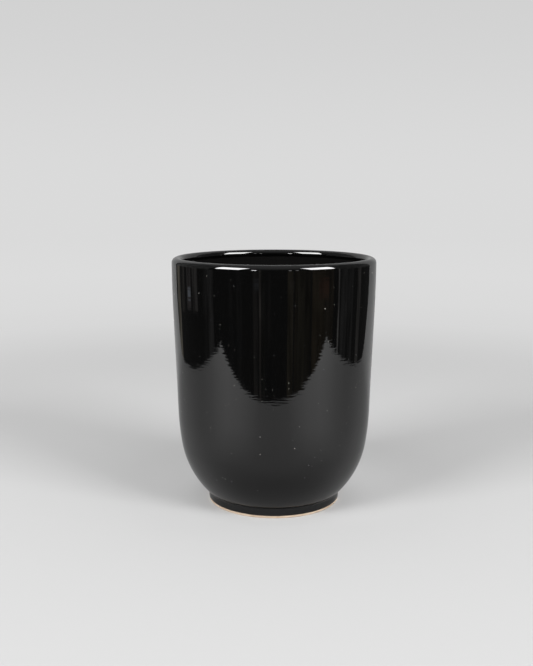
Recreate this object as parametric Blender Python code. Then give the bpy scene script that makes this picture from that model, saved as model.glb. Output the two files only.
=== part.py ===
"""Empty ceramic candle jar: a fired clay cup with a black glaze coat outside, inside and under the base.

Metres, +Z up. The origin is the centre of the foot, on the surface that the jar stands on.
Every solid is turned about the Z axis from a half section in the XZ plane.
A slope is the angle that the outside wall leans out from upright, so a slope's normal points that far
below level: 0 is an upright wall, 90 faces down, -90 faces up and -180 faces the axis.
"""

from math import cos, radians, sin, tan

import bmesh
import bpy

# Whole jar
HEIGHT = 0.0979
WIDEST_RADIUS = 0.0400
WALL = 0.0039  # clay and both glaze coats together
LIP_OUTER_ROUND = 0.0021
LIP_INNER_ROUND = WALL - LIP_OUTER_ROUND

# Outside wall, from the lip down
UPRIGHT_FROM = 0.0945  # above this height the wall is upright
TAPER_FROM = 0.0775  # top of the straight taper
TAPER_TO = 0.0367  # foot of the straight taper
TAPER_SLOPE = 2.0
SHOULDER_RADIUS = 0.1037
SHOULDER_SLOPE = 9.0
CORNER_RADIUS = 0.0359
CREASE_SLOPE = 45.7  # where the rounded corner ends at the foot

# Foot ring
CREASE_FILLET = 0.0009
FOOT_DRAFT = 2.0
GLAZE_EDGE_HEIGHT = 0.0011  # bare clay below this
GLAZE_EDGE_ROLL = 0.0004
FOOT_BEVEL = 0.0005
CONTACT_INNER_RADIUS = 0.0224
RECESS_RADIUS = 0.0212
RECESS_BEVEL = 0.0006
RECESS_DEPTH = 0.0022  # to the face of the base glaze
BASE_GLAZE_RADIUS = 0.0203
BASE_GLAZE_ROLL = 0.00025

# Inside
FLOOR_HEIGHT = 0.0070  # top of the liner glaze
COAT_JOINT = 0.0950  # outside and inside coats meet here, just inside the lip

# Layers
GLAZE = 0.0005
GAP = 0.0003  # left between glaze and clay, and between the two coats
CLAY_COVER = GLAZE + GAP

SEGMENTS = 64
MERGE = 1e-6
SHARP_ANGLE = radians(30)

# Steps along each round stretch: faces that show are finer than those between glaze and clay
FACE_STEPS = {"fillet": 3, "corner": 6, "shoulder": 2, "top": 2, "lip": 4, "cup": 8}
BACK_STEPS = {"fillet": 2, "corner": 4, "shoulder": 1, "top": 1, "lip": 3, "cup": 5}

GLAZE_BLACK = (0.006, 0.006, 0.006)
CLAY_CREAM = (0.78, 0.70, 0.60)


def from_centre(centre, radius, slope):
    """The point at a radius from a centre, along the normal of a slope."""
    return (centre[0] + radius * cos(radians(slope)), centre[1] - radius * sin(radians(slope)))


def arc(centre, radius, start, end, steps):
    """Points on a round stretch between two slopes, both ends included."""
    return [from_centre(centre, radius, start + (end - start) * k / steps) for k in range(steps + 1)]


# Centres of the outside wall's round stretches, each tangent to the one above it
TOP_RADIUS = (UPRIGHT_FROM - TAPER_FROM) / sin(radians(TAPER_SLOPE))
TOP_CENTRE = (WIDEST_RADIUS - TOP_RADIUS, UPRIGHT_FROM)
TAPER_TOP = from_centre(TOP_CENTRE, TOP_RADIUS, TAPER_SLOPE)
TAPER_FOOT = (TAPER_TOP[0] - (TAPER_FROM - TAPER_TO) * tan(radians(TAPER_SLOPE)), TAPER_TO)
SHOULDER_CENTRE = from_centre(TAPER_FOOT, -SHOULDER_RADIUS, TAPER_SLOPE)
CORNER_TOP = from_centre(SHOULDER_CENTRE, SHOULDER_RADIUS, SHOULDER_SLOPE)
CORNER_CENTRE = from_centre(CORNER_TOP, -CORNER_RADIUS, SHOULDER_SLOPE)
CREASE = from_centre(CORNER_CENTRE, CORNER_RADIUS, CREASE_SLOPE)
FILLET_CENTRE = from_centre(CREASE, CREASE_FILLET, CREASE_SLOPE)
FOOT_TOP = from_centre(FILLET_CENTRE, -CREASE_FILLET, FOOT_DRAFT)

LIP_RADIUS = WIDEST_RADIUS - LIP_OUTER_ROUND
LIP_OUTER_CENTRE = (LIP_RADIUS, HEIGHT - LIP_OUTER_ROUND)
LIP_INNER_CENTRE = (LIP_RADIUS, HEIGHT - LIP_INNER_ROUND)


def foot_side(height, cover):
    """A point on the foot's outer side at a height, a cover's depth under the glazed face."""
    lean = tan(radians(FOOT_DRAFT))
    return (FOOT_TOP[0] - (FOOT_TOP[1] - height) * lean - cover, height)


def outside_line(cover, steps):
    """The outside from the top of the foot side to the lip, a cover's depth under the glazed face."""
    fillet = arc(FILLET_CENTRE, -(CREASE_FILLET + cover), FOOT_DRAFT, CREASE_SLOPE, steps["fillet"])
    corner = arc(CORNER_CENTRE, CORNER_RADIUS - cover, CREASE_SLOPE, SHOULDER_SLOPE, steps["corner"])
    shoulder = arc(
        SHOULDER_CENTRE, SHOULDER_RADIUS - cover, SHOULDER_SLOPE, TAPER_SLOPE, steps["shoulder"]
    )
    top = arc(TOP_CENTRE, TOP_RADIUS - cover, TAPER_SLOPE, 0.0, steps["top"])
    return fillet + corner[1:] + shoulder[1:] + top


def lip_line(cover, steps):
    """Over the lip, from its outer side to its inner side."""
    outer = arc(LIP_OUTER_CENTRE, LIP_OUTER_ROUND - cover, 0.0, -90.0, steps["lip"])
    inner = arc(LIP_INNER_CENTRE, LIP_INNER_ROUND - cover, -90.0, -180.0, steps["lip"])
    return outer + inner[1:]


def cup_line(cover, steps):
    """The inside from its upright top down to the middle of the floor, a cover's depth into the wall."""
    depth = WALL - cover
    top = arc(TOP_CENTRE, TOP_RADIUS - depth, 0.0, TAPER_SLOPE, steps["top"])
    shoulder = arc(
        SHOULDER_CENTRE, SHOULDER_RADIUS - depth, TAPER_SLOPE, SHOULDER_SLOPE, steps["shoulder"]
    )
    face_end = from_centre(SHOULDER_CENTRE, SHOULDER_RADIUS - WALL, SHOULDER_SLOPE)
    cup_radius = (face_end[1] - FLOOR_HEIGHT) / (1.0 - sin(radians(SHOULDER_SLOPE)))
    cup_centre = from_centre(face_end, -cup_radius, SHOULDER_SLOPE)
    cup = arc(cup_centre, cup_radius + cover, SHOULDER_SLOPE, 90.0, steps["cup"])
    return top + shoulder + cup[1:] + [(0.0, FLOOR_HEIGHT - cover)]


def clay_section():
    """From the middle of the base, round the foot ring, up the outside, over the lip and into the cup."""
    recess_top = RECESS_DEPTH + CLAY_COVER
    bevel_top = foot_side(FOOT_BEVEL, CLAY_COVER)
    foot = [
        (0.0, recess_top),
        (RECESS_RADIUS - RECESS_BEVEL, recess_top),
        (RECESS_RADIUS, recess_top - RECESS_BEVEL),
        (CONTACT_INNER_RADIUS - FOOT_BEVEL, FOOT_BEVEL),
        (CONTACT_INNER_RADIUS, 0.0),
        (bevel_top[0] - FOOT_BEVEL, 0.0),
        bevel_top,
    ]
    body = outside_line(CLAY_COVER, BACK_STEPS) + lip_line(CLAY_COVER, BACK_STEPS)
    return foot + body + cup_line(CLAY_COVER, BACK_STEPS)


def outer_glaze_section():
    """A closed loop: rolled edge at the foot, the face up and over the lip, and the back down again."""
    roll_top = foot_side(GLAZE_EDGE_HEIGHT + GLAZE_EDGE_ROLL, 0.0)
    roll_centre = (roll_top[0] - GLAZE_EDGE_ROLL, roll_top[1])
    roll = arc(roll_centre, GLAZE_EDGE_ROLL, 90.0, 0.0, FACE_STEPS["fillet"])
    face_joint = (WIDEST_RADIUS - WALL, COAT_JOINT)
    back_joint = (WIDEST_RADIUS - WALL + GLAZE, COAT_JOINT)
    face = outside_line(0.0, FACE_STEPS) + lip_line(0.0, FACE_STEPS)
    back = outside_line(GLAZE, BACK_STEPS) + lip_line(GLAZE, BACK_STEPS)
    edge_back = foot_side(GLAZE_EDGE_HEIGHT, GLAZE)
    return roll + face + [face_joint, back_joint] + back[::-1] + [edge_back]


def liner_glaze_section():
    """From the middle of the floor, under the coat to its top edge, and down its face again."""
    top = COAT_JOINT - GAP
    back = [(WIDEST_RADIUS - WALL + GLAZE, top)] + cup_line(GLAZE, BACK_STEPS)
    face = [(WIDEST_RADIUS - WALL, top)] + cup_line(0.0, FACE_STEPS)
    return back[::-1] + face


def base_glaze_section():
    """A thin disc with a rounded lower edge."""
    centre = (BASE_GLAZE_RADIUS - BASE_GLAZE_ROLL, RECESS_DEPTH + BASE_GLAZE_ROLL)
    roll = arc(centre, BASE_GLAZE_ROLL, 90.0, 0.0, FACE_STEPS["fillet"])
    top = RECESS_DEPTH + GLAZE
    return [(0.0, RECESS_DEPTH)] + roll + [(BASE_GLAZE_RADIUS, top), (0.0, top)]


def layer_material(name, colour, roughness, coat):
    """A Principled material for one layer."""
    material = bpy.data.materials.new(name)
    material.use_nodes = True
    shader = material.node_tree.nodes["Principled BSDF"]
    shader.inputs["Base Color"].default_value = (*colour, 1.0)
    shader.inputs["Metallic"].default_value = 0.0
    shader.inputs["Roughness"].default_value = roughness
    shader.inputs["Coat Weight"].default_value = coat
    return material


def turned(name, section, closed, material):
    """One solid: the half section spun a full turn about Z."""
    bm = bmesh.new()
    verts = [bm.verts.new((radius, 0.0, height)) for radius, height in section]
    edges = [bm.edges.new(pair) for pair in zip(verts, verts[1:])]
    if closed:
        edges.append(bm.edges.new((verts[-1], verts[0])))
    bmesh.ops.spin(
        bm,
        geom=verts + edges,
        cent=(0.0, 0.0, 0.0),
        axis=(0.0, 0.0, 1.0),
        angle=radians(360),
        steps=SEGMENTS,
        use_merge=True,
        use_duplicate=False,
    )
    bmesh.ops.remove_doubles(bm, verts=bm.verts, dist=MERGE)
    bmesh.ops.recalc_face_normals(bm, faces=bm.faces)
    mesh = bpy.data.meshes.new(name)
    bm.to_mesh(mesh)
    bm.free()
    mesh.materials.append(material)
    mesh.shade_smooth()
    mesh.set_sharp_from_angle(angle=SHARP_ANGLE)
    solid = bpy.data.objects.new(name, mesh)
    bpy.context.scene.collection.objects.link(solid)
    return solid


def build():
    """Clear the scene, then make the four layers of the jar."""
    for leftover in list(bpy.data.objects):
        bpy.data.objects.remove(leftover, do_unlink=True)
    clay = layer_material("bare clay", CLAY_CREAM, 0.85, 0.0)
    glaze = layer_material("black glaze", GLAZE_BLACK, 0.07, 0.3)
    turned("clay_body", clay_section(), False, clay)
    turned("outer_glaze", outer_glaze_section(), True, glaze)
    turned("liner_glaze", liner_glaze_section(), False, glaze)
    turned("base_glaze", base_glaze_section(), False, glaze)


build()
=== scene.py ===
import math
import random

import bmesh
import bpy
from mathutils import Matrix, Vector, noise
from mathutils.bvhtree import BVHTree


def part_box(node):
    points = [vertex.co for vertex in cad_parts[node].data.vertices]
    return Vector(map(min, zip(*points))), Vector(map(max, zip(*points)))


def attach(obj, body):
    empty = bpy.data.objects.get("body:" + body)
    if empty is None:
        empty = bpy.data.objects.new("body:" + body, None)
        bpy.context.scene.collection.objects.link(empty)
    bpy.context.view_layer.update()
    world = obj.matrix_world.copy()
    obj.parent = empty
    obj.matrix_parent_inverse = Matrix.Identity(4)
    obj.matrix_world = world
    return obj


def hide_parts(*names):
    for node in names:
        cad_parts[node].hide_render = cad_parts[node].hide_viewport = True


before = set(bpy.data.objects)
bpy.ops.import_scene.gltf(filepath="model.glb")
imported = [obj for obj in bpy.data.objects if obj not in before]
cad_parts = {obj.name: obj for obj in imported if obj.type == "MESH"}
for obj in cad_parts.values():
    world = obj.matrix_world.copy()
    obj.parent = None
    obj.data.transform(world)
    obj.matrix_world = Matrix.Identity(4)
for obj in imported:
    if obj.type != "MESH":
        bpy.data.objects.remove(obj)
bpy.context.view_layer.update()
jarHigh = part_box("outer_glaze")[1]

upAxis = Vector((0.0, 0.0, 1.0))
mergeDistance = 1e-6
sharpFrom = 35.0        # edges that turn by more degrees than this are kept crisp
glazeDepth = 0.0005

# The jar's half section in metres and degrees. A slope is how far a face leans out from upright:
# 0 is an upright wall, 90 faces down and -90 faces up. Depths are measured inwards from the glazed face.
# Where a function below takes fine, it multiplies the number of steps along the line.
jar = {
    "height": jarHigh.z,
    "radius": jarHigh.x,
    "wall": 0.0039,
    "lipOutside": 0.0021,   # rounding of the lip, outer half
    "uprightFrom": 0.0945,
    "taperFrom": 0.0775,
    "taperTo": 0.0367,
    "taperSlope": 2.0,
    "shoulderRadius": 0.1037,
    "shoulderSlope": 9.0,
    "cornerRadius": 0.0359,
    "creaseSlope": 45.7,
    "creaseFillet": 0.0009,
    "footDraft": 2.0,
    "floor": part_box("liner_glaze")[0].z + glazeDepth,
    "coatJoint": 0.0950,    # the outside and inside coats meet here
}
lipInside = jar["wall"] - jar["lipOutside"]
lipRadius = jar["radius"] - jar["lipOutside"]
leadRadius = (jar["uprightFrom"] - jar["taperFrom"]) / math.sin(math.radians(jar["taperSlope"]))
taperLength = (jar["taperFrom"] - jar["taperTo"]) / math.cos(math.radians(jar["taperSlope"]))


def faceNormal(slope):
    return Vector((math.cos(math.radians(slope)), 0.0, -math.sin(math.radians(slope))))


def startLine(bm, radius, height):
    return bm.verts.new((radius, 0.0, height))


def layArc(bm, tip, slope, newSlope, radius, steps):
    # carries the line on round an arc; a negative radius makes a hollow
    swept = bmesh.ops.spin(bm, geom=[tip], cent=tip.co - radius * faceNormal(slope), axis=(0.0, 1.0, 0.0),
                           angle=math.radians(newSlope - slope), steps=steps, use_merge=False)
    return swept["geom_last"][0]


def layStraight(bm, tip, slope, length, pieces=1):
    # carries the line straight on down the face
    lean = math.radians(slope)
    step = length / pieces * Vector((-math.sin(lean), 0.0, -math.cos(lean)))
    for _ in range(pieces):
        newTip = bmesh.ops.extrude_vert_indiv(bm, verts=[tip])["verts"][0]
        newTip.co = tip.co + step
        tip = newTip
    return tip


def layOutside(bm, crest, depth, fine):
    # from the top of the lip down the outside to just above the foot ring's side
    tip = layArc(bm, crest, -90.0, 0.0, jar["lipOutside"] - depth, 6 * fine)
    tip = layStraight(bm, tip, 0.0, jar["height"] - jar["lipOutside"] - jar["uprightFrom"], fine)
    tip = layArc(bm, tip, 0.0, jar["taperSlope"], leadRadius - depth, 5 * fine)
    tip = layStraight(bm, tip, jar["taperSlope"], taperLength, 12 * fine)
    tip = layArc(bm, tip, jar["taperSlope"], jar["shoulderSlope"], jar["shoulderRadius"] - depth, 5 * fine)
    tip = layArc(bm, tip, jar["shoulderSlope"], jar["creaseSlope"], jar["cornerRadius"] - depth, 9 * fine)
    return layArc(bm, tip, jar["creaseSlope"], jar["footDraft"], -jar["creaseFillet"] - depth, 3 * fine)


def layLipInside(bm, crest, depth, height, fine):
    # from the top of the lip down its inner side to a height
    tip = layArc(bm, crest, -90.0, -180.0, lipInside - depth, 5 * fine)
    return layStraight(bm, tip, 0.0, tip.co.z - height, fine)


def layCup(bm, tip, depth, fine):
    # from the upright part of the inside down to the middle of the floor
    cover = jar["wall"] - depth
    tip = layStraight(bm, tip, 0.0, tip.co.z - jar["uprightFrom"], fine)
    tip = layArc(bm, tip, 0.0, jar["taperSlope"], leadRadius - cover, 4 * fine)
    tip = layStraight(bm, tip, jar["taperSlope"], taperLength, 10 * fine)
    tip = layArc(bm, tip, jar["taperSlope"], jar["shoulderSlope"], jar["shoulderRadius"] - cover, 4 * fine)
    cupRadius = (tip.co.z - jar["floor"] + depth) / (1.0 - math.sin(math.radians(jar["shoulderSlope"])))
    tip = layArc(bm, tip, jar["shoulderSlope"], 90.0, cupRadius, 10 * fine)
    return layStraight(bm, tip, 90.0, tip.co.x, 3 * fine)


def layFootSide(bm, tip, height):
    # down the foot ring's side to a height
    length = (tip.co.z - height) / math.cos(math.radians(jar["footDraft"]))
    return layStraight(bm, tip, jar["footDraft"], length, 3)


def turnOnWheel(bm, steps):
    # spins the half section a full turn, then closes the seam and the middle
    bmesh.ops.spin(bm, geom=bm.verts[:] + bm.edges[:], cent=(0.0, 0.0, 0.0), axis=upAxis,
                   angle=math.radians(360), steps=steps, use_merge=True)
    bmesh.ops.remove_doubles(bm, verts=bm.verts, dist=mergeDistance)
    bmesh.ops.recalc_face_normals(bm, faces=bm.faces)


def letWander(bm, span, depth):
    # a cast and glazed wall is never quite true: it moves in and out a few hundredths of a millimetre
    for vert in bm.verts:
        away = Vector((vert.co.x, vert.co.y, 0.0))
        if away.length > mergeDistance:
            vert.co += away.normalized() * depth * noise.noise(vert.co / span)


def finishPiece(bm, name, material, slot, *nodes):
    mesh = bpy.data.meshes.new(name)
    bm.to_mesh(mesh)
    bm.free()
    mesh.materials.append(material)
    mesh.shade_smooth()
    mesh.set_sharp_from_angle(angle=math.radians(sharpFrom))
    piece = bpy.data.objects.new(name, mesh)
    bpy.context.scene.collection.objects.link(piece)
    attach(piece, "root")
    if nodes:
        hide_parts(*nodes)
    print(name, len(mesh.vertices), "points")
    return piece


# Materials

def newMaterial(name):
    material = bpy.data.materials.new(name)
    material.use_nodes = True
    tree = material.node_tree
    return material, tree, tree.nodes["Principled BSDF"]


def addNode(tree, kind, **settings):
    node = tree.nodes.new(kind)
    for key, value in settings.items():
        setattr(node, key, value)
    return node


def addNoise(tree, place, scale, detail=2.0, roughness=0.5):
    # a noise pattern fixed to the object; scale is how many waves a metre holds along x, y and z
    stretch = addNode(tree, "ShaderNodeMapping")
    stretch.inputs["Scale"].default_value = scale
    pattern = addNode(tree, "ShaderNodeTexNoise")
    pattern.inputs["Scale"].default_value = 1.0
    pattern.inputs["Detail"].default_value = detail
    pattern.inputs["Roughness"].default_value = roughness
    tree.links.new(place.outputs["Object"], stretch.inputs["Vector"])
    tree.links.new(stretch.outputs["Vector"], pattern.inputs["Vector"])
    return pattern.outputs["Fac"]


def addBump(tree, height, distance, under=None):
    bump = addNode(tree, "ShaderNodeBump")
    bump.inputs["Strength"].default_value = 1.0
    bump.inputs["Distance"].default_value = distance
    tree.links.new(height, bump.inputs["Height"])
    if under is not None:
        tree.links.new(under, bump.inputs["Normal"])
    return bump.outputs["Normal"]


def addRamp(tree, value, stops):
    ramp = addNode(tree, "ShaderNodeValToRGB")
    points = ramp.color_ramp.elements
    while len(points) < len(stops):
        points.new(0.5)
    for point, (place, colour) in zip(points, stops):
        point.position = place
        point.color = (*colour, 1.0)
    tree.links.new(value, ramp.inputs["Fac"])
    return ramp.outputs["Color"]


def addGreyRamp(tree, value, stops):
    return addRamp(tree, value, [(place, (level,) * 3) for place, level in stops])


def addMath(tree, operation, *values):
    # each value is a plain number or what another node gives
    step = addNode(tree, "ShaderNodeMath", operation=operation)
    for socket, value in zip(step.inputs, values):
        if isinstance(value, float):
            socket.default_value = value
        else:
            tree.links.new(value, socket)
    return step.outputs["Value"]


def addReach(tree, place, centre=(0.0, 0.0, 0.0)):
    reach = addNode(tree, "ShaderNodeVectorMath", operation="DISTANCE")
    reach.inputs[1].default_value = centre
    tree.links.new(place.outputs["Object"], reach.inputs[0])
    return reach.outputs["Value"]


def addMapping(tree, value, low, high, toLow, toHigh):
    # an eased change from one level to another
    stretch = addNode(tree, "ShaderNodeMapRange", interpolation_type="SMOOTHSTEP")
    for socket, number in zip(("From Min", "From Max", "To Min", "To Max"), (low, high, toLow, toHigh)):
        stretch.inputs[socket].default_value = number
    tree.links.new(value, stretch.inputs["Value"])
    return stretch.outputs["Result"]


glazeLook = {
    "black": (0.0010, 0.0010, 0.0010),
    # the inside black is lighter than the outside black: painted light lifting the shaded inside
    "paintedLightBlackInside": (0.0042, 0.0041, 0.0040),
    "thin": (0.16, 0.075, 0.03),         # where it breaks over the clay at its edge
    "palest": (0.24, 0.155, 0.095),
    "thinAt": 0.3,                       # how far through the break each colour is reached
    "blackAt": 0.75,
    "edge": 0.0009,                      # height of the edge on the foot
    "breakFrom": 0.0001,                 # the break starts this far above the edge
    "breakHeight": 0.0003,
    "breakWaver": 0.0003,
    "breakScale": (160.0, 160.0, 160.0),
    "ior": 1.5,
    "roughness": 0.035,
    "smearScale": (60.0, 60.0, 60.0),
    "smear": (0.7, 1.3),                 # the roughness varies between these shares of itself
    "rippleScale": (200.0, 200.0, 1300.0),
    "rippleDepth": 0.9e-5,
    "streakScale": (170.0, 170.0, 14.0),
    "streakDepth": 2.2e-5,
    "swellScale": (90.0, 90.0, 330.0),
    "swellDepth": 0.9e-5,
    "peelScale": (420.0, 420.0, 420.0),
    "peelDepth": 1.0e-6,
}


def addFootBreak(tree, place, black):
    # glaze runs thin and brown where it ends on the foot
    height = addNode(tree, "ShaderNodeSeparateXYZ")
    tree.links.new(place.outputs["Object"], height.inputs["Vector"])
    uneven = addNoise(tree, place, glazeLook["breakScale"], 3.0)
    above = addNode(tree, "ShaderNodeMapRange")
    lowest = glazeLook["edge"] + glazeLook["breakFrom"]
    above.inputs["From Min"].default_value = lowest
    above.inputs["From Max"].default_value = lowest + glazeLook["breakHeight"]
    wavering = addMath(tree, "MULTIPLY_ADD", uneven, glazeLook["breakWaver"], height.outputs["Z"])
    tree.links.new(wavering, above.inputs["Value"])
    stops = [(0.0, glazeLook["palest"]), (glazeLook["thinAt"], glazeLook["thin"]),
             (glazeLook["blackAt"], black)]
    return addRamp(tree, above.outputs["Result"], stops)


def glossyBlackGlaze(name, black, breaksAtFoot):
    material, tree, shader = newMaterial(name)
    place = addNode(tree, "ShaderNodeTexCoord")
    shader.inputs["IOR"].default_value = glazeLook["ior"]
    shader.inputs["Base Color"].default_value = (*black, 1.0)
    if breaksAtFoot:
        tree.links.new(addFootBreak(tree, place, black), shader.inputs["Base Color"])
    rough = addNode(tree, "ShaderNodeMapRange")
    rough.inputs["To Min"].default_value = glazeLook["roughness"] * glazeLook["smear"][0]
    rough.inputs["To Max"].default_value = glazeLook["roughness"] * glazeLook["smear"][1]
    tree.links.new(addNoise(tree, place, glazeLook["smearScale"]), rough.inputs["Value"])
    tree.links.new(rough.outputs["Result"], shader.inputs["Roughness"])
    relief = None
    for pattern in ("peel", "streak", "swell"):
        height = addNoise(tree, place, glazeLook[pattern + "Scale"], 1.0)
        relief = addBump(tree, height, glazeLook[pattern + "Depth"], relief)
    ripple = addNoise(tree, place, glazeLook["rippleScale"], 2.0, 0.45)
    relief = addBump(tree, ripple, glazeLook["rippleDepth"], relief)
    tree.links.new(relief, shader.inputs["Normal"])
    return material


clayLook = {
    "body": [(0.35, (0.36, 0.265, 0.185)), (0.6, (0.47, 0.375, 0.285))],     # sand to cream
    "grit": (0.22, 0.15, 0.10),
    "gritShare": [(0.66, 0.0), (0.74, 0.6)],     # only the peaks of the fleck pattern show as grit
    "cloudScale": (180.0, 180.0, 180.0),
    "fleckScale": (2200.0, 2200.0, 2200.0),
    "grainScale": (2600.0, 2600.0, 2600.0),
    "grainDepth": 1.5e-5,
    "roughness": 0.85,
}


def bareClayMaterial():
    material, tree, shader = newMaterial("bareClay")
    place = addNode(tree, "ShaderNodeTexCoord")
    cloud = addNoise(tree, place, clayLook["cloudScale"], 4.0, 0.6)
    fleck = addNoise(tree, place, clayLook["fleckScale"], 1.0)
    mix = addNode(tree, "ShaderNodeMix", data_type="RGBA")
    mix.inputs["B"].default_value = (*clayLook["grit"], 1.0)
    tree.links.new(addGreyRamp(tree, fleck, clayLook["gritShare"]), mix.inputs["Factor"])
    tree.links.new(addRamp(tree, cloud, clayLook["body"]), mix.inputs["A"])
    tree.links.new(mix.outputs["Result"], shader.inputs["Base Color"])
    grain = addNoise(tree, place, clayLook["grainScale"], 3.0, 0.6)
    tree.links.new(addBump(tree, grain, clayLook["grainDepth"]), shader.inputs["Normal"])
    shader.inputs["Roughness"].default_value = clayLook["roughness"]
    return material


# The outside glaze: one coat from its rolled edge on the foot, up and over the lip

outsideCoat = {
    "edgeHeight": glazeLook["edge"],
    "edgeRoll": 0.0003,
    "steps": 288,
    "wanderSpan": 0.016,
    "wanderDepth": 0.000012,
}


def makeGlazeOutside(material):
    bm = bmesh.new()
    face = startLine(bm, lipRadius, jar["height"])
    faceEdge = layOutside(bm, face, 0.0, 3)
    faceEdge = layFootSide(bm, faceEdge, outsideCoat["edgeHeight"] + outsideCoat["edgeRoll"])
    faceEdge = layArc(bm, faceEdge, jar["footDraft"], 90.0, outsideCoat["edgeRoll"], 6)
    faceJoint = layLipInside(bm, face, 0.0, jar["coatJoint"], 3)
    back = startLine(bm, lipRadius, jar["height"] - glazeDepth)
    backEdge = layOutside(bm, back, glazeDepth, 1)
    backEdge = layFootSide(bm, backEdge, outsideCoat["edgeHeight"])
    backJoint = layLipInside(bm, back, glazeDepth, jar["coatJoint"], 1)
    bm.edges.new((faceEdge, backEdge))
    bm.edges.new((faceJoint, backJoint))
    turnOnWheel(bm, outsideCoat["steps"])
    letWander(bm, outsideCoat["wanderSpan"], outsideCoat["wanderDepth"])
    return finishPiece(bm, "glazeOutside", material, "black_glaze", "outer_glaze")


# The inside glaze: the liner, from the joint in the lip down to the floor

insideCoat = {
    "steps": 256,
    "wanderSpan": 0.018,
    "wanderDepth": 0.000015,
    "jointGap": 0.00002,
}


def makeGlazeInside(material):
    bm = bmesh.new()
    top = jar["coatJoint"] - insideCoat["jointGap"]
    inner = jar["radius"] - jar["wall"]
    face = startLine(bm, inner, top)
    back = startLine(bm, inner + glazeDepth, top)
    bm.edges.new((face, back))
    layCup(bm, face, 0.0, 3)
    layCup(bm, back, glazeDepth, 1)
    turnOnWheel(bm, insideCoat["steps"])
    letWander(bm, insideCoat["wanderSpan"], insideCoat["wanderDepth"])
    return finishPiece(bm, "glazeInside", material, "black_glaze", "liner_glaze")


# The glaze under the base: a thin pool in the recess, rounded at its rim

baseCoat = {
    "radius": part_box("base_glaze")[1].x,
    "rim": 0.00025,
    "steps": 160,
    "wanderSpan": 0.009,
    "wanderDepth": 0.00003,
}


def makeGlazeBase(material):
    bm = bmesh.new()
    low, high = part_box("base_glaze")
    middle = startLine(bm, 0.0, high.z)
    rim = layStraight(bm, middle, -90.0, baseCoat["radius"], 4)
    tip = layStraight(bm, rim, 0.0, high.z - low.z - baseCoat["rim"])
    tip = layArc(bm, tip, 0.0, 90.0, baseCoat["rim"], 5)
    layStraight(bm, tip, 90.0, tip.co.x, 12)
    turnOnWheel(bm, baseCoat["steps"])
    for vert in bm.verts:
        if vert.co.z < low.z + baseCoat["rim"] / 2:
            vert.co.z += baseCoat["wanderDepth"] * (0.5 + noise.noise(vert.co / baseCoat["wanderSpan"]))
    return finishPiece(bm, "glazeBase", material, "black_glaze", "base_glaze")


# The fired clay: only the foot ring and the step into the recess are bare

clayGap = 0.00005                # between the clay and the coats on it

clay = {
    "underGlaze": glazeDepth + clayGap,
    "sideDepth": 0.00018,        # the bare foot side sits this far behind the glazed face
    "bareTo": 0.00105,
    "ledge": 0.00015,            # height of the step from the glazed side out to the bare one
    "footBevel": 0.0003,
    "contactInner": 0.0224,
    "innerSlope": 150.0,         # the ring's inner edge is rounded as far as this slope
    "recessRadius": 0.0212,
    "recessBevel": 0.0006,
    "wornBelow": 0.0009,         # the wiped foot is a little worn and never dead flat
    "wornDepth": 0.00003,
    "wornSpan": 0.003,
    "steps": 256,
}


def makeClayBody(material):
    bm = bmesh.new()
    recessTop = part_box("base_glaze")[1].z + clayGap
    crest = startLine(bm, lipRadius, jar["height"] - clay["underGlaze"])
    foot = layOutside(bm, crest, clay["underGlaze"], 1)
    foot = layFootSide(bm, foot, clay["bareTo"] + clay["ledge"])
    side = layStraight(bm, foot, 0.0, clay["ledge"])
    side.co.x += clay["underGlaze"] - clay["sideDepth"]
    bevelTop = layFootSide(bm, side, clay["footBevel"])
    bevelRadius = clay["footBevel"] / (1.0 - math.sin(math.radians(jar["footDraft"])))
    contact = layArc(bm, bevelTop, jar["footDraft"], 90.0, bevelRadius, 5)
    inner = layStraight(bm, contact, 90.0, contact.co.x - clay["contactInner"], 4)
    inner = layArc(bm, inner, 90.0, clay["innerSlope"], clay["footBevel"], 4)
    recess = bmesh.ops.extrude_vert_indiv(bm, verts=[inner])["verts"][0]
    recess.co = Vector((clay["recessRadius"], 0.0, recessTop - clay["recessBevel"]))
    recess = layArc(bm, recess, 180.0, 90.0, -clay["recessBevel"], 4)
    layStraight(bm, recess, 90.0, recess.co.x, 2)
    joint = layLipInside(bm, crest, clay["underGlaze"], jar["coatJoint"], 1)
    layCup(bm, joint, clay["underGlaze"], 1)
    turnOnWheel(bm, clay["steps"])
    letWander(bm, outsideCoat["wanderSpan"], outsideCoat["wanderDepth"])
    for vert in bm.verts:
        if vert.co.z < clay["wornBelow"]:
            vert.co.z += clay["wornDepth"] * (0.5 + noise.noise(vert.co / clay["wornSpan"]))
    return finishPiece(bm, "clayBody", material, "bare_clay", "clay_body")


# Dust and pinholes in the glaze, each a tiny mound

specks = {
    "count": 240,
    "insideCount": 40,
    "smallest": 0.00007,
    "largest": 0.00016,
    "lowest": 0.012,
    "highest": 0.094,
    "castFrom": 0.1,             # outside specks are found from this far out
    "seed": 7,
}


def makeGlazeSpecks(material, outside, inside):
    random.seed(specks["seed"])
    bm = bmesh.new()
    for coat, count, outwards in ((outside, specks["count"], True), (inside, specks["insideCount"], False)):
        points = [vert.co for vert in coat.data.vertices]
        wall = BVHTree.FromPolygons(points, [face.vertices for face in coat.data.polygons])
        for _ in range(count):
            heading = random.uniform(0.0, math.tau)
            height = random.uniform(specks["lowest"], specks["highest"])
            size = specks["smallest"] + (specks["largest"] - specks["smallest"]) * random.random() ** 2
            away = Vector((math.cos(heading), math.sin(heading), 0.0))
            start = upAxis * height + (away * specks["castFrom"] if outwards else Vector())
            place = wall.ray_cast(start, -away if outwards else away)[0]
            if place is None:
                continue
            spot = Matrix.Translation(place)
            bmesh.ops.create_uvsphere(bm, u_segments=6, v_segments=4, radius=size, matrix=spot)
    return finishPiece(bm, "glazeSpecks", material, "black_glaze")


speckLook = {
    "tint": [(0.35, (0.04, 0.04, 0.05)), (0.65, (0.30, 0.29, 0.26))],        # dark pinholes to pale dust
    "tintScale": (300.0, 300.0, 300.0),
    "roughness": 0.5,
}


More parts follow.
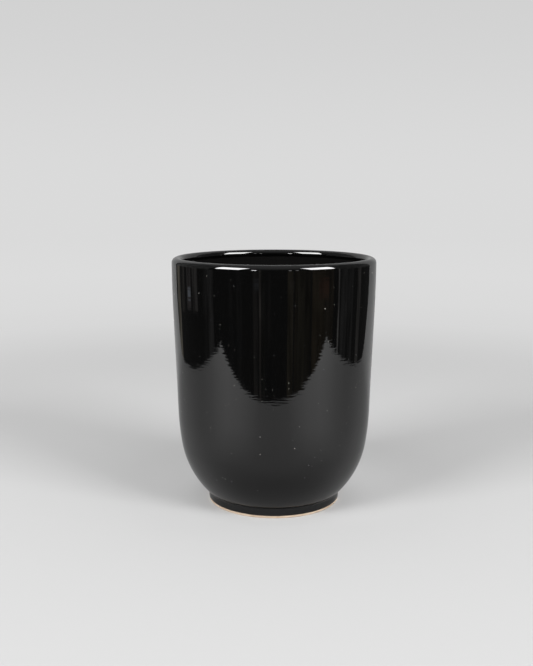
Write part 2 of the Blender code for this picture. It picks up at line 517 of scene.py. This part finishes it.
def speckMaterial():
    material, tree, shader = newMaterial("glazeSpeck")
    place = addNode(tree, "ShaderNodeTexCoord")
    tint = addNoise(tree, place, speckLook["tintScale"], 0.0)
    tree.links.new(addRamp(tree, tint, speckLook["tint"]), shader.inputs["Base Color"])
    shader.inputs["Roughness"].default_value = speckLook["roughness"]
    return material


wallGlaze = glossyBlackGlaze("blackGlaze", glazeLook["black"], True)
# a lighter copy of the black glaze for the inside and under the base: painted light
paintedLightGlaze = glossyBlackGlaze("blackGlazeInsidePaintedLight", glazeLook["paintedLightBlackInside"], False)
glazeOutside = makeGlazeOutside(wallGlaze)
glazeInside = makeGlazeInside(paintedLightGlaze)
makeGlazeBase(paintedLightGlaze)
makeClayBody(bareClayMaterial())
makeGlazeSpecks(speckMaterial(), glazeOutside, glazeInside)


# Camera

view = {
    "place": (0.0, -0.3483, 0.12575),
    "down": 9.505,
    "left": 0.48,
    "lens": 47.924,
    "sensor": 36.0,
    "nearest": 0.01,
    "farthest": 20.0,
}


def makeCamera():
    data = bpy.data.cameras.new("camera")
    data.lens = view["lens"]
    data.sensor_width = view["sensor"]
    data.clip_start = view["nearest"]
    data.clip_end = view["farthest"]
    camera = bpy.data.objects.new("camera", data)
    camera.location = view["place"]
    camera.rotation_euler = (math.radians(90.0 - view["down"]), 0.0, math.radians(view["left"]))
    bpy.context.scene.collection.objects.link(camera)
    bpy.context.scene.camera = camera


# Stage: pale floor, the small paper sweep that the glaze mirrors, and the dark room beyond it

stageLook = {
    # tone of the paper by distance from this point: painted light, paler close to the jar's foot where the
    # shade round the foot would fall
    "paintedLightAt": (0.006, 0.020, 0.0),
    "paper": [(0.026, 0.690), (0.033, 0.640), (0.040, 0.600), (0.048, 0.562), (0.060, 0.530),
              (0.070, 0.520)],
    "fadeFrom": 0.15,            # from here the floor fades to a glow that meets the backdrop
    "fadeTo": 0.48,
    "glowReach": 2.0,
    # the glow by distance, as a share of its reach; it is dimmer nearer the jar, which is painted shade
    "glow": [(0.09, 0.550), (0.14, 0.590), (0.19, 0.652), (0.24, 0.682), (0.31, 0.703),
             (0.46, 0.715), (0.9, 0.703)],
    "floorRadius": 9.0,
    "floorSides": 96,
    "floorDrop": 0.00002,        # keeps the floor clear of the foot
}

paperSheet = {
    "paper": 0.475,
    "sides": (-0.245, 0.0, 0.262),           # left edge, middle and right edge
    "front": [(-0.272, -0.172), (0.0, -0.188), (0.287, -0.183)],
    "wall": 0.210,
    "skew": 0.090,               # the sheet lies a little askew, its left side further back
    "bend": 0.075,
    "bendSteps": 12,
    "height": 0.42,
    "paintedShadeFromAbove": 0.72,           # painted shade: paper seen from straight above is dimmer than at a slant
    "slant": (0.05, 0.45),
    "paintedShadeToBack": 0.70,             # painted shade: it is dimmer towards the back, between these two places
    "backFrom": -0.13,
    "backTo": 0.11,
    # painted sheen: the matt paper is made brighter towards the softboxes, by degrees off the front, and by
    # distance from the jar
    "sheen": 1.02,
    "sheenRound": [(0, 0.0), (14, 0.10), (26, 0.56), (36, 0.87), (49, 1.0), (59, 0.75), (70, 0.32),
                   (83, 0.04), (90, 0.0)],
    "sheenOut": [(0.065, 0.0), (0.075, 0.15), (0.093, 0.39), (0.112, 0.50), (0.15, 0.69),
                 (0.235, 0.82), (0.29, 1.0)],
}

# Levels of the surroundings. The spans are heights, from 0 at the horizon to 1 overhead, apart from
# frontSpan, which runs from -1 straight behind the camera to 1 straight ahead of it.
backdrop = {
    "horizon": 0.703,
    "above": 0.640,
    "aboveSpan": (0.0, 0.22),
    "below": 0.710,
    "belowSpan": (-0.25, 0.0),
    "room": 0.038,
    "ceiling": 0.44,
    "ceilingSpan": (0.25, 1.0),
    "fillFromAbove": 0.73,       # the same ceiling as it lights the matt surfaces
    "fillSpan": (0.05, 1.0),
    "fillFromFront": 0.90,       # light from the pale end of the room behind the camera
    "frontSpan": (-0.9, 0.1),
}


def stageObject(bm, name, material):
    mesh = bpy.data.meshes.new(name)
    bm.to_mesh(mesh)
    bm.free()
    mesh.materials.append(material)
    mesh.shade_smooth()
    thing = bpy.data.objects.new(name, mesh)
    bpy.context.scene.collection.objects.link(thing)
    return thing


def mirrorOnly(thing):
    # seen in the glaze and nowhere else
    thing.visible_camera = False
    thing.visible_diffuse = False
    thing.visible_shadow = False
    thing.visible_transmission = False


def floorMaterial():
    # lit paper round the jar, with painted light on it near the foot, fading into an even glow
    material, tree, shader = newMaterial("floorPaper")
    tree.nodes.remove(shader)
    place = addNode(tree, "ShaderNodeTexCoord")
    matt = addNode(tree, "ShaderNodeBsdfDiffuse")
    near = addReach(tree, place, stageLook["paintedLightAt"])
    # painted light: the paper's tone is paler close to the foot
    tree.links.new(addGreyRamp(tree, near, stageLook["paper"]), matt.inputs["Color"])
    reach = addReach(tree, place)
    glow = addNode(tree, "ShaderNodeEmission")
    share = addMath(tree, "DIVIDE", reach, stageLook["glowReach"])
    tree.links.new(addGreyRamp(tree, share, stageLook["glow"]), glow.inputs["Color"])
    blend = addNode(tree, "ShaderNodeMixShader")
    fade = addMapping(tree, reach, stageLook["fadeFrom"], stageLook["fadeTo"], 0.0, 1.0)
    tree.links.new(fade, blend.inputs["Fac"])
    tree.links.new(matt.outputs["BSDF"], blend.inputs[1])
    tree.links.new(glow.outputs["Emission"], blend.inputs[2])
    tree.links.new(blend.outputs["Shader"], tree.nodes["Material Output"].inputs["Surface"])
    return material


def makeFloor():
    bm = bmesh.new()
    bmesh.ops.create_circle(bm, cap_ends=True, segments=stageLook["floorSides"],
                            radius=stageLook["floorRadius"])
    bmesh.ops.translate(bm, verts=bm.verts, vec=(0.0, 0.0, -stageLook["floorDrop"]))
    floor = stageObject(bm, "floor", floorMaterial())
    floor.visible_glossy = False


def addPaintedSheen(tree, place, across, along):
    # painted sheen: how much brighter the matt paper is made where it lies towards a softbox
    ahead = addMath(tree, "MULTIPLY", along, -1.0)
    heading = addMath(tree, "ARCTAN2", addMath(tree, "ABSOLUTE", across), ahead)
    roundStops = [(turn / 180, level) for turn, level in paperSheet["sheenRound"]]
    sheenRound = addGreyRamp(tree, addMath(tree, "DIVIDE", heading, math.pi), roundStops)
    sheenOut = addGreyRamp(tree, addReach(tree, place), paperSheet["sheenOut"])
    both = addMath(tree, "MULTIPLY", sheenRound, sheenOut)
    return addMath(tree, "MULTIPLY_ADD", both, paperSheet["sheen"], 1.0)


def sheetMaterial():
    # the mirrored sheet's matt tone carries painted shade and a painted sheen
    material, tree, shader = newMaterial("sheetPaper")
    tree.nodes.remove(shader)
    place = addNode(tree, "ShaderNodeTexCoord")
    parts = addNode(tree, "ShaderNodeSeparateXYZ")
    tree.links.new(place.outputs["Object"], parts.inputs["Vector"])
    # painted shade: the sheet's tone dims where it is seen from straight above
    slant = addNode(tree, "ShaderNodeLayerWeight")
    shade = addMapping(tree, slant.outputs["Facing"], *paperSheet["slant"], paperSheet["paintedShadeFromAbove"], 1.0)
    # painted shade: the sheet's tone dims towards the back
    back = addMapping(tree, parts.outputs["Y"], paperSheet["backFrom"], paperSheet["backTo"],
                      1.0, paperSheet["paintedShadeToBack"])
    tone = addMath(tree, "MULTIPLY", addMath(tree, "MULTIPLY", shade, back), paperSheet["paper"])
    # painted sheen: the paper's tone is brightened towards the softboxes
    sheen = addPaintedSheen(tree, place, parts.outputs["X"], parts.outputs["Y"])
    matt = addNode(tree, "ShaderNodeBsdfDiffuse")
    tree.links.new(addMath(tree, "MULTIPLY", tone, sheen), matt.inputs["Color"])
    tree.links.new(matt.outputs["BSDF"], tree.nodes["Material Output"].inputs["Surface"])
    return material


def makePaperSheet():
    # a strip from the front edge back, round the bend and up, widened into two bays
    bm = bmesh.new()
    start = bm.verts.new((*paperSheet["front"][1], 0.0))
    flat = bmesh.ops.extrude_vert_indiv(bm, verts=[start])["verts"][0]
    flat.co.y = paperSheet["wall"] - paperSheet["bend"]
    bend = bmesh.ops.spin(bm, geom=[flat], cent=flat.co + upAxis * paperSheet["bend"], axis=(1.0, 0.0, 0.0),
                          angle=math.radians(90), steps=paperSheet["bendSteps"], use_merge=False)
    top = bmesh.ops.extrude_vert_indiv(bm, verts=bend["geom_last"])["verts"][0]
    top.co.z = paperSheet["height"]
    columns = [bm.verts[:]]
    edges = bm.edges[:]
    while len(columns) < len(paperSheet["sides"]):
        wide = bmesh.ops.extrude_edge_only(bm, edges=edges)["geom"]
        columns.append([item for item in wide if isinstance(item, bmesh.types.BMVert)])
        edges = [item for item in wide if isinstance(item, bmesh.types.BMEdge)
                 and all(end in columns[-1] for end in item.verts)]
    for verts, across, front in zip(columns, paperSheet["sides"], paperSheet["front"]):
        for vert in verts:
            if vert.co.y < 0.0:      # only the front edge is on the near side of the jar
                vert.co.x, vert.co.y = front
            else:
                vert.co.x = across
                vert.co.y -= paperSheet["skew"] * across
    mirrorOnly(stageObject(bm, "mirroredPaper", sheetMaterial()))


def choose(tree, flag, whenNot, when):
    pick = addNode(tree, "ShaderNodeMix", data_type="FLOAT")
    tree.links.new(flag, pick.inputs["Factor"])
    tree.links.new(whenNot, pick.inputs["A"])
    tree.links.new(when, pick.inputs["B"])
    return pick.outputs["Result"]


def makeWorld():
    # the backdrop for what is seen directly, a dim room in the glaze, and soft fill on everything matt
    world = bpy.data.worlds.new("studio")
    bpy.context.scene.world = world
    world.use_nodes = True
    tree = world.node_tree
    tree.nodes.clear()
    place = addNode(tree, "ShaderNodeTexCoord")
    parts = addNode(tree, "ShaderNodeSeparateXYZ")
    tree.links.new(place.outputs["Generated"], parts.inputs["Vector"])
    rise = parts.outputs["Z"]
    overhead = addMapping(tree, rise, *backdrop["ceilingSpan"], backdrop["room"], backdrop["ceiling"])
    fillAbove = addMapping(tree, rise, *backdrop["fillSpan"], 0.0, backdrop["fillFromAbove"])
    fillFront = addMapping(tree, parts.outputs["Y"], *backdrop["frontSpan"], backdrop["fillFromFront"], 0.0)
    fill = addMath(tree, "ADD", fillAbove, fillFront)
    lower = addMapping(tree, rise, *backdrop["belowSpan"], backdrop["below"], backdrop["horizon"])
    upper = addMapping(tree, rise, *backdrop["aboveSpan"], 0.0, backdrop["above"] - backdrop["horizon"])
    sky = addMath(tree, "ADD", lower, upper)
    ray = addNode(tree, "ShaderNodeLightPath")
    unseen = choose(tree, ray.outputs["Is Glossy Ray"], fill, overhead)
    level = choose(tree, ray.outputs["Is Camera Ray"], unseen, sky)
    light = addNode(tree, "ShaderNodeBackground")
    light.inputs["Color"].default_value = (1.0, 1.0, 1.0, 1.0)
    output = addNode(tree, "ShaderNodeOutputWorld")
    tree.links.new(level, light.inputs["Strength"])
    tree.links.new(light.outputs["Background"], output.inputs["Surface"])


# uneven strength of the glow on the painted room reflections
mottle = {
    "scale": (5.0, 5.0, 4.0),
    "span": (0.3, 0.7),
    "levels": (0.55, 1.45),
}


def glowMaterial(name, colour, mottled=False):
    material, tree, shader = newMaterial(name)
    tree.nodes.remove(shader)
    glow = addNode(tree, "ShaderNodeEmission")
    glow.inputs["Color"].default_value = (*colour, 1.0)
    if mottled:
        cloud = addNoise(tree, addNode(tree, "ShaderNodeTexCoord"), mottle["scale"])
        tree.links.new(addMapping(tree, cloud, *mottle["span"], *mottle["levels"]), glow.inputs["Strength"])
    tree.links.new(glow.outputs["Emission"], tree.nodes["Material Output"].inputs["Surface"])
    return material


# Each softbox is a lamp, the bright middle of its cloth, and the whole cloth, which only the glaze sees.
# Both places are azimuth and elevation, left one first; the light comes from lower than the cloth shows.
softbox = {
    "distance": 1.30,
    "aim": (0.0, 0.0, 0.05),
    "lampAt": [(-50.0, 24.0), (50.0, 24.0)],
    "lampSize": (0.50, 0.42),
    "watts": 13.2,
    "faceAt": [(-53.0, 35.0), (56.0, 35.0)],
    "faceSize": (0.67, 0.72),
    "face": 24.0,                # how bright the lit cloth looks
}


def placeAround(azimuth, elevation, distance, aim):
    # azimuth 0 is the camera's side and 90 its right
    turn = math.radians(azimuth)
    rise = math.radians(elevation)
    way = Vector((math.sin(turn) * math.cos(rise), -math.cos(turn) * math.cos(rise), math.sin(rise)))
    facing = way.to_track_quat("Z", "Y").to_matrix().to_4x4()
    return Matrix.Translation(Vector(aim) + way * distance) @ facing


def makeSoftboxes():
    cloth = glowMaterial("softboxCloth", (softbox["face"],) * 3)
    for name, lampAt, faceAt in zip(("softboxLeft", "softboxRight"), softbox["lampAt"], softbox["faceAt"]):
        data = bpy.data.lights.new(name, "AREA")
        data.shape = "RECTANGLE"
        data.size, data.size_y = softbox["lampSize"]
        data.energy = softbox["watts"]
        lamp = bpy.data.objects.new(name, data)
        lamp.matrix_world = placeAround(*lampAt, softbox["distance"], softbox["aim"])
        lamp.visible_glossy = False
        bpy.context.scene.collection.objects.link(lamp)
        bm = bmesh.new()
        bmesh.ops.create_grid(bm, x_segments=1, y_segments=1, size=0.5)
        bmesh.ops.scale(bm, verts=bm.verts, vec=(*softbox["faceSize"], 1.0))
        facePlace = placeAround(*faceAt, softbox["distance"], softbox["aim"])
        bmesh.ops.transform(bm, verts=bm.verts, matrix=facePlace)
        mirrorOnly(stageObject(bm, name + "Face", cloth))


# Glowing strips that only the glaze sees, standing in for the stands, curtains and door frames round the
# room: painted reflections in the dark half of the mirror.
# Each is azimuth, width in degrees, bottom and top elevation, and colour.
roomThings = {
    "distance": 2.5,
    "lampDistance": 2.4,
    "steps": 4,
    "strips": [
        (-131.0, 7.0, -30.0, 0.0, (0.27, 0.25, 0.21)),
        (-120.0, 6.0, -7.8, 0.0, (0.10, 0.095, 0.09)),
        (-108.0, 8.0, -7.9, 0.0, (0.14, 0.13, 0.13)),
        (-97.0, 9.0, -8.3, 0.0, (0.16, 0.155, 0.15)),
        (-81.0, 6.0, -30.0, 0.0, (0.075, 0.075, 0.075)),
        (-73.5, 8.0, -30.0, 0.0, (0.135, 0.135, 0.135)),
        (-105.0, 60.0, 0.0, 50.0, (0.20, 0.20, 0.20)),
        (-48.0, 4.0, -30.0, 6.0, (0.055, 0.055, 0.055)),
        (-38.0, 6.0, -30.0, 6.0, (0.055, 0.055, 0.055)),
        (-20.0, 5.0, -30.0, 6.0, (0.085, 0.08, 0.075)),
        (-15.2, 1.8, -30.0, 20.0, (0.27, 0.25, 0.23)),
        (-12.0, 4.0, -30.0, 20.0, (0.06, 0.06, 0.055)),
        (-5.0, 3.0, -30.0, 20.0, (0.052, 0.05, 0.05)),
        (18.0, 6.0, -30.0, 6.0, (0.13, 0.115, 0.085)),
        (24.0, 3.0, -30.0, 6.0, (0.075, 0.065, 0.048)),
        (30.0, 8.0, -30.0, 6.0, (0.105, 0.095, 0.07)),
        (37.5, 6.0, -30.0, 20.0, (0.065, 0.058, 0.045)),
        (50.0, 16.0, -30.0, 18.0, (0.13, 0.105, 0.072)),
        (63.5, 10.0, -30.0, 18.0, (0.095, 0.080, 0.062)),
        (75.3, 1.7, -30.0, 40.0, (0.46, 0.45, 0.44)),
        (83.0, 10.0, -30.0, 0.0, (0.10, 0.10, 0.10)),
        (93.0, 9.0, -30.0, 0.0, (0.075, 0.075, 0.075)),
        (108.0, 6.0, -30.0, 0.0, (0.14, 0.135, 0.13)),
        (107.0, 60.0, 0.0, 50.0, (0.14, 0.14, 0.14)),
    ],
    "lamps": [
        (-107.5, 5.5, -6.5, -5.3, (0.42, 0.46, 0.52)),
        (-19.0, 6.0, -5.6, -4.2, (0.15, 0.155, 0.17)),
        (19.5, 5.0, -5.6, -4.2, (0.16, 0.145, 0.12)),
        (56.0, 12.0, -6.5, -4.0, (0.17, 0.10, 0.07)),
        (-21.5, 5.0, 11.0, 19.0, (19.0, 19.0, 19.0)),
        (17.5, 3.0, 10.0, 17.0, (4.5, 4.5, 4.5)),
        (25.0, 3.0, 10.0, 17.0, (4.5, 4.5, 4.5)),
    ],
}


def makeRoomThings():
    placed = [(thing, roomThings["distance"]) for thing in roomThings["strips"]]
    placed += [(thing, roomThings["lampDistance"]) for thing in roomThings["lamps"]]
    for number, ((azimuth, width, bottom, top, colour), distance) in enumerate(placed):
        bm = bmesh.new()
        start = bm.verts.new((0.0, -distance, distance * math.tan(math.radians(bottom))))
        end = bmesh.ops.extrude_vert_indiv(bm, verts=[start])["verts"][0]
        end.co.z = distance * math.tan(math.radians(top))
        firstTurn = Matrix.Rotation(math.radians(azimuth - width / 2), 3, "Z")
        bmesh.ops.rotate(bm, verts=bm.verts, cent=(0.0, 0.0, 0.0), matrix=firstTurn)
        bmesh.ops.spin(bm, geom=bm.verts[:] + bm.edges[:], cent=(0.0, 0.0, 0.0), axis=upAxis,
                       angle=math.radians(width), steps=roomThings["steps"])
        # each strip or lamp glows; the strips are painted reflections of the room
        glow = glowMaterial(f"roomGlow{number:02d}", colour, True)
        mirrorOnly(stageObject(bm, f"roomThing{number:02d}", glow))


makeCamera()
makeFloor()
makePaperSheet()
makeWorld()
makeSoftboxes()
makeRoomThings()
bpy.context.scene.view_settings.view_transform = "Standard"
print("stage set")
